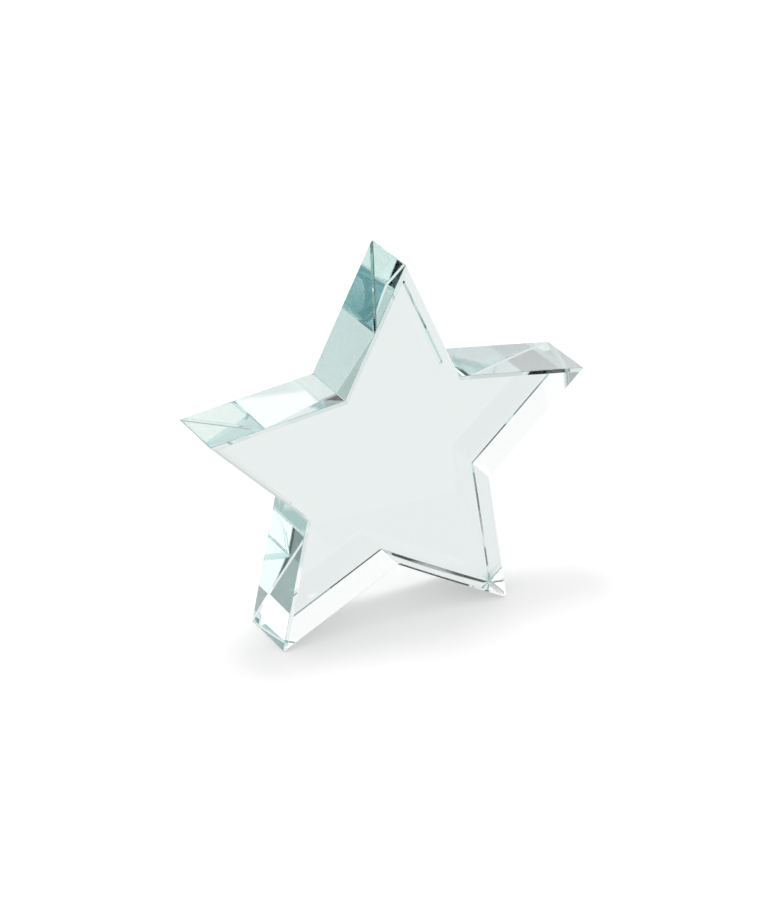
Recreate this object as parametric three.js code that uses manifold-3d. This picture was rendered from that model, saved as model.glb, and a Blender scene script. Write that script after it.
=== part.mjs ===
// Star award: one solid block of clear optical glass, cut and polished as a five-pointed star.
// It stands on its two lower points. Millimetres, +Z up, the front face looks along -Y.
// The origin lies on the standing surface, half way between the feet and at mid-thickness.
import * as THREE from 'three';
import { mergeVertices } from 'three/addons/utils/BufferGeometryUtils.js';
import Module from 'manifold-3d';

// Driving dimensions
const POINT_COUNT = 5;
const POINT_RADIUS = 60; // star centre to a point, before the point is dulled
const NOTCH_RADIUS = 29.6; // star centre to an inward corner, before its fillet
const THICKNESS = 20;
const FRONT_BEVEL = { width: 0.8, depth: 0.8 }; // polished bevel round the front face
const BACK_BEVEL = { width: 0.7, depth: 0.45 }; // the back one is flatter; width is across the face
const NOTCH_FILLET = 0.3; // left in each inward corner by the grinding wheel
const FILLET_STEPS = 4; // flats that stand for each fillet
const FOOT_WIDTH = 0.6; // horizontal flat ground on each of the two lower points
const DULL_WIDTH = 0.3; // small flat that dulls each of the other points
const CUTTER_SIZE = 30; // side of the block that grinds a point flat, past both faces

// Angles and lengths that follow from them
const STEP_ANGLE = Math.PI / POINT_COUNT; // from a point to the next inward corner
const EDGE_ANGLE = Math.atan2(
  NOTCH_RADIUS * Math.sin(STEP_ANGLE),
  POINT_RADIUS - NOTCH_RADIUS * Math.cos(STEP_ANGLE),
); // between a point's edge and its centre line
const EDGE_DISTANCE = POINT_RADIUS * Math.sin(EDGE_ANGLE); // star centre to every edge's line
const FOOT_LINE_ANGLE = Math.PI / 2 - STEP_ANGLE; // a lower point's centre line, from level
const FOOT_CUT = FOOT_WIDTH
  / (1 / Math.tan(FOOT_LINE_ANGLE - EDGE_ANGLE) - 1 / Math.tan(FOOT_LINE_ANGLE + EDGE_ANGLE));
const DULL_CUT = DULL_WIDTH / (2 * Math.tan(EDGE_ANGLE));
const CENTRE_HEIGHT = POINT_RADIUS * Math.sin(FOOT_LINE_ANGLE) - FOOT_CUT;

function polar(radius, angle) {
  return new THREE.Vector2(radius * Math.cos(angle), radius * Math.sin(angle));
}

// Adds the fillet of one inward corner: an arc whose centre lies in the open notch.
function addNotch(outline, notchAngle) {
  const halfOpening = STEP_ANGLE + EDGE_ANGLE; // between the notch's centre line and its edges
  const centre = polar(NOTCH_RADIUS + NOTCH_FILLET / Math.sin(halfOpening), notchAngle);
  const halfArc = Math.PI / 2 - halfOpening;
  const middle = notchAngle + Math.PI;
  outline.absarc(centre.x, centre.y, NOTCH_FILLET, middle + halfArc, middle - halfArc, true);
}

function starOutline() {
  const outline = new THREE.Shape();
  const topPoint = polar(POINT_RADIUS, Math.PI / 2);
  outline.moveTo(topPoint.x, topPoint.y);
  for (let i = 0; i < POINT_COUNT; i += 1) {
    const pointAngle = Math.PI / 2 + 2 * i * STEP_ANGLE;
    addNotch(outline, pointAngle + STEP_ANGLE);
    const nextPoint = polar(POINT_RADIUS, pointAngle + 2 * STEP_ANGLE);
    outline.lineTo(nextPoint.x, nextPoint.y);
  }
  return outline;
}

// Moves the two middle rings of a three-step extrusion next to its ends and shrinks the ends.
// Every edge of a regular star is equally far from its centre, so shrinking is an even inset.
// The extrusion starts at the back face.
function bevelEnds(geometry) {
  const rings = [
    { height: 0, inset: BACK_BEVEL.width },
    { height: BACK_BEVEL.depth, inset: 0 },
    { height: THICKNESS - FRONT_BEVEL.depth, inset: 0 },
    { height: THICKNESS, inset: FRONT_BEVEL.width },
  ];
  const position = geometry.attributes.position;
  for (let i = 0; i < position.count; i += 1) {
    const ring = rings[Math.round((position.getZ(i) / THICKNESS) * (rings.length - 1))];
    const scale = (EDGE_DISTANCE - ring.inset) / EDGE_DISTANCE;
    position.setXYZ(i, position.getX(i) * scale, position.getY(i) * scale, ring.height);
  }
}

// The sharp-pointed block, upright, with its centre at the origin.
function bevelledBlock() {
  const geometry = new THREE.ExtrudeGeometry(starOutline(), {
    depth: THICKNESS,
    steps: 3,
    curveSegments: FILLET_STEPS / 2, // an arc gets two flats for each
    bevelEnabled: false,
  });
  bevelEnds(geometry);
  geometry.translate(0, 0, -THICKNESS / 2);
  geometry.rotateX(Math.PI / 2);
  return geometry;
}

// A block that starts at the given distance from the star's centre along the given direction.
function grindingBlock(distance, angle) {
  const block = new THREE.BoxGeometry(CUTTER_SIZE, CUTTER_SIZE, CUTTER_SIZE);
  block.translate(distance + CUTTER_SIZE / 2, 0, 0);
  block.rotateY(-angle);
  return block;
}

// Moves a grinding block sideways, so that it meets one lower point and not the other.
function footBlock(side) {
  const block = grindingBlock(CENTRE_HEIGHT, -Math.PI / 2);
  block.translate(side * POINT_RADIUS * Math.cos(FOOT_LINE_ANGLE), 0, 0);
  return block;
}

function toSolid(wasm, geometry) {
  const bare = geometry.clone();
  bare.deleteAttribute('normal');
  bare.deleteAttribute('uv');
  const merged = mergeVertices(bare);
  return new wasm.Manifold(new wasm.Mesh({
    numProp: 3,
    vertProperties: new Float32Array(merged.attributes.position.array),
    triVerts: new Uint32Array(merged.index.array),
  }));
}

function toGeometry(solid) {
  const mesh = solid.getMesh();
  const geometry = new THREE.BufferGeometry();
  geometry.setAttribute('position', new THREE.BufferAttribute(mesh.vertProperties, 3));
  geometry.setIndex(new THREE.BufferAttribute(mesh.triVerts, 1));
  geometry.computeVertexNormals();
  return geometry;
}

async function starBlock() {
  const wasm = await Module();
  wasm.setup();
  let solid = toSolid(wasm, bevelledBlock());
  for (const angle of [Math.PI / 2, Math.PI / 2 - 2 * STEP_ANGLE, Math.PI / 2 + 2 * STEP_ANGLE]) {
    solid = solid.subtract(toSolid(wasm, grindingBlock(POINT_RADIUS - DULL_CUT, angle)));
  }
  for (const side of [-1, 1]) {
    solid = solid.subtract(toSolid(wasm, footBlock(side)));
  }
  const geometry = toGeometry(solid);
  geometry.translate(0, 0, CENTRE_HEIGHT);
  return geometry;
}

const crystal = new THREE.MeshStandardMaterial({ color: 0xd8e8e4, roughness: 0.02, metalness: 0 });
const star = new THREE.Mesh(await starBlock(), crystal);
star.name = 'star_block';

const award = new THREE.Group();
award.add(star);

export default award;
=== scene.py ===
"""Star award: the looks of one block of clear optical glass, on a pale floor under soft studio light.

Metres, +Z up, in the frame of the CAD model. The front face looks along -Y.
"""

import math

import bmesh
import bpy
from mathutils import Matrix, Vector


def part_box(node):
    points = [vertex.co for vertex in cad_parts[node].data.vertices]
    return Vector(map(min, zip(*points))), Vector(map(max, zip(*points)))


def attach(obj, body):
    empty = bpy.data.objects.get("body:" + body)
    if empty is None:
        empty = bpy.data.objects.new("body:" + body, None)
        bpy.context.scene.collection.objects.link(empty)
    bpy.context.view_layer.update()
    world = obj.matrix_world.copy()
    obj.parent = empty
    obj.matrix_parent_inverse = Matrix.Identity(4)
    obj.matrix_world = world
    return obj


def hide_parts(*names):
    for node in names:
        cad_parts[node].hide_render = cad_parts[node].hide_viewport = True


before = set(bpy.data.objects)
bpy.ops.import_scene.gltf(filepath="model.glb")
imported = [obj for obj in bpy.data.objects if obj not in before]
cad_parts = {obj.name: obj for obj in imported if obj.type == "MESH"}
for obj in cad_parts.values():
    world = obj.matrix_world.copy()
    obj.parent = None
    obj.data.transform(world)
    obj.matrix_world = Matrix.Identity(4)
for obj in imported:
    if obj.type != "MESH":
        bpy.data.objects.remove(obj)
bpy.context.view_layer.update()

# The block, as in the CAD model
POINT_COUNT = 5
POINT_RADIUS = 0.060
NOTCH_RADIUS = 0.0296
FRONT_BEVEL = 0.0008
BACK_BEVEL_WIDTH = 0.0007
BACK_BEVEL_DEPTH = 0.00045
NOTCH_FILLET = 0.0003
FILLET_STEPS = 8
EDGE_STEPS = 12  # along each wall
WALL_STEPS = 6  # across each wall, from bevel to bevel
WALL_CROWN = 0.00008  # how far hand polishing has left each wall proud in its middle
LOWER_CROWN = 0.00030  # the same for the wall inside the right foot, which shows it most
LOWER_WALL = 5  # counted from the top point, to the left
CROWN_ACROSS = 0.4  # share of the crown that fades towards the bevels
DULL_WIDTH = 0.0003
EDGE_ROUND = 0.00010  # how far polishing has rounded each edge
SHARP_ANGLE = math.radians(20)

STEP_ANGLE = math.pi / POINT_COUNT
EDGE_ANGLE = math.atan2(
    NOTCH_RADIUS * math.sin(STEP_ANGLE),
    POINT_RADIUS - NOTCH_RADIUS * math.cos(STEP_ANGLE),
)
EDGE_DISTANCE = POINT_RADIUS * math.sin(EDGE_ANGLE)
DULL_CUT = DULL_WIDTH / (2 * math.tan(EDGE_ANGLE))

low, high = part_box("star_block")
FRONT_Y, BACK_Y = low.y, high.y
CENTRE = Vector((0, (low.y + high.y) / 2, high.z - POINT_RADIUS + DULL_CUT))


def polar(radius, angle):
    return Vector((radius * math.cos(angle), 0, radius * math.sin(angle)))


def notch_arc(notch_angle, inset):
    """Points along one inward corner, whose fillet grows with the inset."""
    half_opening = STEP_ANGLE + EDGE_ANGLE
    fillet_centre = polar(NOTCH_RADIUS + NOTCH_FILLET / math.sin(half_opening), notch_angle)
    half_arc = math.pi / 2 - half_opening
    points = []
    for i in range(FILLET_STEPS + 1):
        angle = notch_angle + math.pi + half_arc * (1 - 2 * i / FILLET_STEPS)
        points.append(fillet_centre + polar(NOTCH_FILLET + inset, angle))
    return points


def crowned(start, end, crown):
    """The points between the ends of one wall, along a shallow outward arc."""
    outward = Vector((end.z - start.z, 0, start.x - end.x)).normalized()
    points = []
    for i in range(1, EDGE_STEPS):
        t = i / EDGE_STEPS
        points.append(start.lerp(end, t) + outward * crown * 4 * t * (1 - t))
    return points


def star_ring(inset, share):
    """The star's outline about the origin, moved in by inset, with a share of each wall's crown."""
    shrink = (EDGE_DISTANCE - inset) / EDGE_DISTANCE
    ring = []
    for i in range(POINT_COUNT):
        point_angle = math.pi / 2 + 2 * i * STEP_ANGLE
        point = polar(POINT_RADIUS * shrink, point_angle)
        arc = notch_arc(point_angle + STEP_ANGLE, inset)
        next_point = polar(POINT_RADIUS * shrink, point_angle + 2 * STEP_ANGLE)
        crowns = [LOWER_CROWN if wall == LOWER_WALL else WALL_CROWN for wall in (2 * i, 2 * i + 1)]
        ring.append(point)
        ring.extend(crowned(point, arc[0], crowns[0] * share))
        ring.extend(arc)
        ring.extend(crowned(arc[-1], next_point, crowns[1] * share))
    return ring


def cut(bm, point, normal):
    """Takes off what lies beyond a plane and closes each cut with triangles round its middle."""
    geometry = bm.verts[:] + bm.edges[:] + bm.faces[:]
    made = bmesh.ops.bisect_plane(
        bm, geom=geometry, plane_co=point, plane_no=normal, clear_outer=True
    )
    rim = [e for e in made["geom_cut"] if isinstance(e, bmesh.types.BMEdge)]
    filled = bmesh.ops.edgeloop_fill(bm, edges=rim)
    bmesh.ops.poke(bm, faces=filled["faces"])


def star_mesh():
    bm = bmesh.new()
    wall_front, wall_back = FRONT_Y + FRONT_BEVEL, BACK_Y - BACK_BEVEL_DEPTH
    # Depth, inset and share of the crown; the front rim follows its walls and the back is straight
    layers = [(FRONT_Y, FRONT_BEVEL, 1 - CROWN_ACROSS)]
    for i in range(WALL_STEPS + 1):
        across = 2 * i / WALL_STEPS - 1
        y = wall_front + (wall_back - wall_front) * i / WALL_STEPS
        layers.append((y, 0, 1 - CROWN_ACROSS * across * across))
    layers.append((BACK_Y, BACK_BEVEL_WIDTH, 0))
    rings = []
    for y, inset, share in layers:
        place = CENTRE + Vector((0, y - CENTRE.y, 0))
        rings.append([bm.verts.new(place + p) for p in star_ring(inset, share)])
    count = len(rings[0])
    for near, far in zip(rings, rings[1:]):
        for i in range(count):
            j = (i + 1) % count
            bm.faces.new((near[i], near[j], far[j], far[i]))
    ends = [bm.faces.new(rings[0]), bm.faces.new(rings[-1])]
    bmesh.ops.poke(bm, faces=ends)
    for angle in (math.pi / 2, math.pi / 2 + 2 * STEP_ANGLE, math.pi / 2 - 2 * STEP_ANGLE):
        cut(bm, CENTRE + polar(POINT_RADIUS - DULL_CUT, angle), polar(1, angle))
    cut(bm, low, Vector((0, 0, -1)))
    bmesh.ops.recalc_face_normals(bm, faces=bm.faces)
    mesh = bpy.data.meshes.new("star")
    bm.to_mesh(mesh)
    bm.free()
    mesh.shade_smooth()
    mesh.set_sharp_from_angle(angle=SHARP_ANGLE)
    return mesh


def glass():
    material = bpy.data.materials.new("crystal")
    material.use_nodes = True
    nodes, links = material.node_tree.nodes, material.node_tree.links
    shader = nodes["Principled BSDF"]
    shader.inputs["Base Color"].default_value = (0.895, 0.89, 0.882, 1)
    shader.inputs["Roughness"].default_value = 0.0
    shader.inputs["IOR"].default_value = 1.517
    shader.inputs["Transmission Weight"].default_value = 1.0
    absorption = nodes.new("ShaderNodeVolumeAbsorption")
    absorption.inputs["Color"].default_value = (0.0, 0.60, 0.56, 1)
    absorption.inputs["Density"].default_value = 4.4
    links.new(absorption.outputs["Volume"], nodes["Material Output"].inputs["Volume"])
    return material


star = bpy.data.objects.new("star", star_mesh())
bpy.context.scene.collection.objects.link(star)
star.data.materials.append(glass())
bevel = star.modifiers.new("edge_round", "BEVEL")
bevel.width = EDGE_ROUND
bevel.segments = 2
bevel.limit_method = "ANGLE"
bevel.angle_limit = SHARP_ANGLE
bevel.harden_normals = True
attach(star, "root")
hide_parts("star_block")

# Camera
TARGET_SHIFT = Vector((-0.0123, 0, 0.0134)) * POINT_RADIUS
CAMERA_AZIMUTH = math.radians(-28.86)
CAMERA_ELEVATION = math.radians(26.68)
CAMERA_ROLL = math.radians(1.35)
CAMERA_DISTANCE = 14.793 * POINT_RADIUS
LENS = 129.67

camera = bpy.data.objects.new("camera", bpy.data.cameras.new("camera"))
bpy.context.scene.collection.objects.link(camera)
to_camera = Vector((
    math.sin(CAMERA_AZIMUTH) * math.cos(CAMERA_ELEVATION),
    -math.cos(CAMERA_AZIMUTH) * math.cos(CAMERA_ELEVATION),
    math.sin(CAMERA_ELEVATION),
))
camera.location = CENTRE + TARGET_SHIFT + to_camera * CAMERA_DISTANCE
level = Vector((0, 0, 1)).cross(to_camera).normalized()
upright = to_camera.cross(level)
right = level * math.cos(CAMERA_ROLL) + upright * math.sin(CAMERA_ROLL)
up = upright * math.cos(CAMERA_ROLL) - level * math.sin(CAMERA_ROLL)
camera.matrix_world = Matrix((
    (right.x, up.x, to_camera.x, camera.location.x),
    (right.y, up.y, to_camera.y, camera.location.y),
    (right.z, up.z, to_camera.z, camera.location.z),
    (0, 0, 0, 1),
))
camera.data.lens = LENS
camera.data.sensor_width = 36
bpy.context.scene.camera = camera

# The studio
FLOOR_SIZE = 1.2  # half the side
FLOOR_ALBEDO = 0.8
FLOOR_GLOW = 0.30  # stands for the light that comes down through the clear block
TABLE_SIZE = 6.0
TABLE_HEIGHT = -0.0002
MM_PER_METRE = 1000.0
BOUNCES = 24  # long paths inside the block need many

# What the glass sees of the studio, in brightness where 1 is paper white: a plain colour with
# soft-edged patches laid on it, each as (across, up, half width, half height, soft edge, colour).
# Those in the tent without a comment are cards, each tuned for one or a few facets or edges at the
# main angle.
TENT_COLOUR = (0.50, 0.50, 0.50)
TENT_PATCHES = (  # across is azimuth and up is elevation, in degrees
    (150, 55, 45, 40, 8, (1.22, 1.18, 1.19)),  # bright wall and ceiling behind
    (-150, 55, 45, 40, 8, (1.22, 1.18, 1.19)),  # and its left half
    (180, 6, 12, 12, 3, (1.0, 1.0, 1.0)),  # pale wall straight behind, in two halves
    (-180, 6, 12, 12, 3, (1.0, 1.0, 1.0)),
    (152, 34, 18, 9, 6, (1.9, 1.65, 1.65)),  # window behind on the right
    (-144, 20, 6, 5, 3, (2.0, 1.65, 1.65)),  # window behind on the left
    (-158, 28, 3, 3, 2, (1.58, 1.40, 1.37)),
    (145, 9, 22, 6, 4, (0.42, 0.46, 0.49)),  # dim wall along the back of the table
    (140, 0, 18, 3, 1, (0.0, 0.0, 0.0)),  # and the dark gap under it
    (-150, 3.5, 15, 5, 1.5, (0.0, 0.0, 0.0)),
    (161, 19.5, 4, 2, 2, (0.0, 0.0, 0.0)),
    (36, 4, 14, 8, 4, (1.15, 1.04, 1.03)),
    (-45, 27, 72, 9, 6, (0.30, 0.34, 0.34)),  # dark room around the camera
    (18, 35, 6, 3, 3, (0.55, 0.54, 0.53)),
    (-42, 32, 28, 5, 2, (0.0, 0.0, 0.0)),
    (-120, 28, 10, 6, 3, (0.0, 0.0, 0.0)),
    (50, 50, 11, 7, 3, (0.03, 0.03, 0.03)),
    (-79, 59, 8, 6, 3, (0.08, 0.08, 0.08)),
)
TABLE_COLOUR = (0.99, 1.0, 1.0)
# Painted light and shade on the glowing table, each tuned for one or a few facets or edges at the
# main angle: the brighter patches are painted light, such as a pool of light just behind the star,
# and the darker ones are painted shade, such as the star's shadow under it and dimmer floor in front
# of it
TABLE_LIGHT_AND_SHADE_PATCHES = (  # across is X and up is Y, in millimetres
    (-4, 15, 8, 7, 4, (1.42, 1.28, 1.30)),
    (-72, 105, 35, 35, 12, (1.5, 1.2, 1.18)),
    (-230, 225, 60, 60, 40, (1.05, 0.87, 0.90)),
    (35, -31, 30, 19, 2, (0.33, 0.56, 0.60)),
    (130, -110, 40, 70, 20, (0.70, 0.74, 0.72)),
    (31, 5, 5, 5, 5, (0.55, 0.67, 0.65)),
    (-50, -22, 32, 10, 6, (0.45, 0.47, 0.45)),
    (450, 420, 130, 130, 50, (0.76, 0.78, 0.76)),
    (-41, 143, 8, 6, 3, (0.48, 0.51, 0.51)),
    (0, 1, 14, 3, 2, (0.25, 0.28, 0.28)),
)

# The lamps that light the floor: (name, diameter, place, power)
LAMPS = (
    ("overhead", 0.30, Vector((-0.12, 0.18, 1.0)), 2.5),
    ("ceiling", 10.0, Vector((-0.3, 0.7, 1.6)), 225.0),
)


def maths(tree, operation, *values):
    """One maths node; numbers are set on its sockets and the rest is linked."""
    node = tree.nodes.new("ShaderNodeMath")
    node.operation = operation
    for socket, value in zip(node.inputs, values):
        if isinstance(value, bpy.types.NodeSocket):
            tree.links.new(value, socket)
        else:
            socket.default_value = value
    return node.outputs[0]


def soft_edge(tree, place, centre, half, soft):
    """0 within half of the centre and 1 past the soft edge."""
    away = maths(tree, "SUBTRACT", place, centre)
    away = maths(tree, "ABSOLUTE", away)
    node = tree.nodes.new("ShaderNodeMapRange")
    node.interpolation_type = "SMOOTHSTEP"
    tree.links.new(away, node.inputs["Value"])
    node.inputs["From Min"].default_value = half
    node.inputs["From Max"].default_value = half + soft
    return node.outputs["Result"]


def painted(tree, across, up, ground, patches):
    """A colour socket for the plain ground with its patches laid over it in turn."""
    shown = ground
    for x, y, half_x, half_y, soft, colour in patches:
        beside = soft_edge(tree, across, x, half_x, soft)
        above = soft_edge(tree, up, y, half_y, soft)
        bare = maths(tree, "MAXIMUM", beside, above)
        mix = tree.nodes.new("ShaderNodeMix")
        mix.data_type = "VECTOR"
        first, second = [s for s in mix.inputs if s.type == "VECTOR"][-2:]
        tree.links.new(bare, mix.inputs["Factor"])
        first.default_value = colour
        if isinstance(shown, bpy.types.NodeSocket):
            tree.links.new(shown, second)
        else:
            second.default_value = shown
        shown = [s for s in mix.outputs if s.type == "VECTOR"][0]
    return shown


def split(tree, place):
    node = tree.nodes.new("ShaderNodeSeparateXYZ")
    tree.links.new(place, node.inputs[0])
    return node.outputs


def tent():
    """A grey tent with its patches, which the glass sees; the camera sees plain white instead."""
    world = bpy.data.worlds.new("tent")
    bpy.context.scene.world = world
    world.use_nodes = True
    world.cycles_visibility.diffuse = False
    tree = world.node_tree
    x, y, z = split(tree, tree.nodes.new("ShaderNodeTexCoord").outputs["Generated"])
    front = maths(tree, "MULTIPLY", y, -1.0)
    azimuth = maths(tree, "ARCTAN2", x, front)
    elevation = maths(tree, "ARCSINE", z)
    azimuth = maths(tree, "DEGREES", azimuth)
    elevation = maths(tree, "DEGREES", elevation)
    shown = painted(tree, azimuth, elevation, TENT_COLOUR, TENT_PATCHES)
    backdrop = tree.nodes.new("ShaderNodeMix")
    backdrop.data_type = "RGBA"
    seen_by = tree.nodes.new("ShaderNodeLightPath")
    tree.links.new(seen_by.outputs["Is Camera Ray"], backdrop.inputs[0])
    inside, plain = [s for s in backdrop.inputs if s.type == "RGBA"]
    tree.links.new(shown, inside)
    plain.default_value = (1, 1, 1, 1)
    colour = [s for s in backdrop.outputs if s.type == "RGBA"][0]
    tree.links.new(colour, tree.nodes["Background"].inputs["Color"])


def plane(name, size, height):
    bm = bmesh.new()
    bmesh.ops.create_grid(bm, x_segments=1, y_segments=1, size=size)
    mesh = bpy.data.meshes.new(name)
    bm.to_mesh(mesh)
    sheet = bpy.data.objects.new(name, mesh)
    sheet.location.z = height
    bpy.context.scene.collection.objects.link(sheet)
    material = bpy.data.materials.new(name)
    material.use_nodes = True
    mesh.materials.append(material)
    return sheet, material.node_tree


def floor():
    """The matt floor, which every ray sees but those that come through the glass."""
    sheet, tree = plane("floor", FLOOR_SIZE, 0.0)
    shader = tree.nodes["Principled BSDF"]
    shader.inputs["Base Color"].default_value = (FLOOR_ALBEDO,) * 3 + (1,)
    shader.inputs["Roughness"].default_value = 1.0
    shader.inputs["Specular IOR Level"].default_value = 0.0
    shader.inputs["Emission Color"].default_value = (1, 1, 1, 1)
    shader.inputs["Emission Strength"].default_value = FLOOR_GLOW
    sheet.visible_transmission = False


def light_table():
    """The glowing table under the floor, which only rays that come through the glass see."""
    sheet, tree = plane("light_table", TABLE_SIZE, TABLE_HEIGHT)
    sheet.visible_camera = False
    sheet.visible_diffuse = False
    sheet.visible_glossy = False
    sheet.visible_shadow = False
    x, y, _ = split(tree, tree.nodes.new("ShaderNodeTexCoord").outputs["Object"])
    across = maths(tree, "MULTIPLY", x, MM_PER_METRE)
    up = maths(tree, "MULTIPLY", y, MM_PER_METRE)
    glow = tree.nodes.new("ShaderNodeEmission")
    # The glow carries painted light and painted shade: the star's shadow under it, pools of light
    # behind it, dimmer floor in front
    tree.links.new(painted(tree, across, up, TABLE_COLOUR, TABLE_LIGHT_AND_SHADE_PATCHES), glow.inputs["Color"])
    tree.links.new(glow.outputs[0], tree.nodes["Material Output"].inputs["Surface"])


def lamp(name, diameter, place, power):
    """A round soft lamp that lights the floor and stays out of the glass."""
    light = bpy.data.lights.new(name, "AREA")
    light.shape = "DISK"
    light.size = diameter
    light.energy = power
    holder = bpy.data.objects.new(name, light)
    bpy.context.scene.collection.objects.link(holder)
    holder.location = place
    holder.visible_camera = False
    holder.visible_transmission = False
    holder.visible_glossy = False


tent()
floor()
light_table()
for values in LAMPS:
    lamp(*values)

scene = bpy.context.scene
scene.view_settings.view_transform = "Standard"
scene.cycles.max_bounces = BOUNCES
scene.cycles.transmission_bounces = BOUNCES
scene.cycles.glossy_bounces = BOUNCES
scene.cycles.sampling_pattern = "TABULATED_SOBOL"
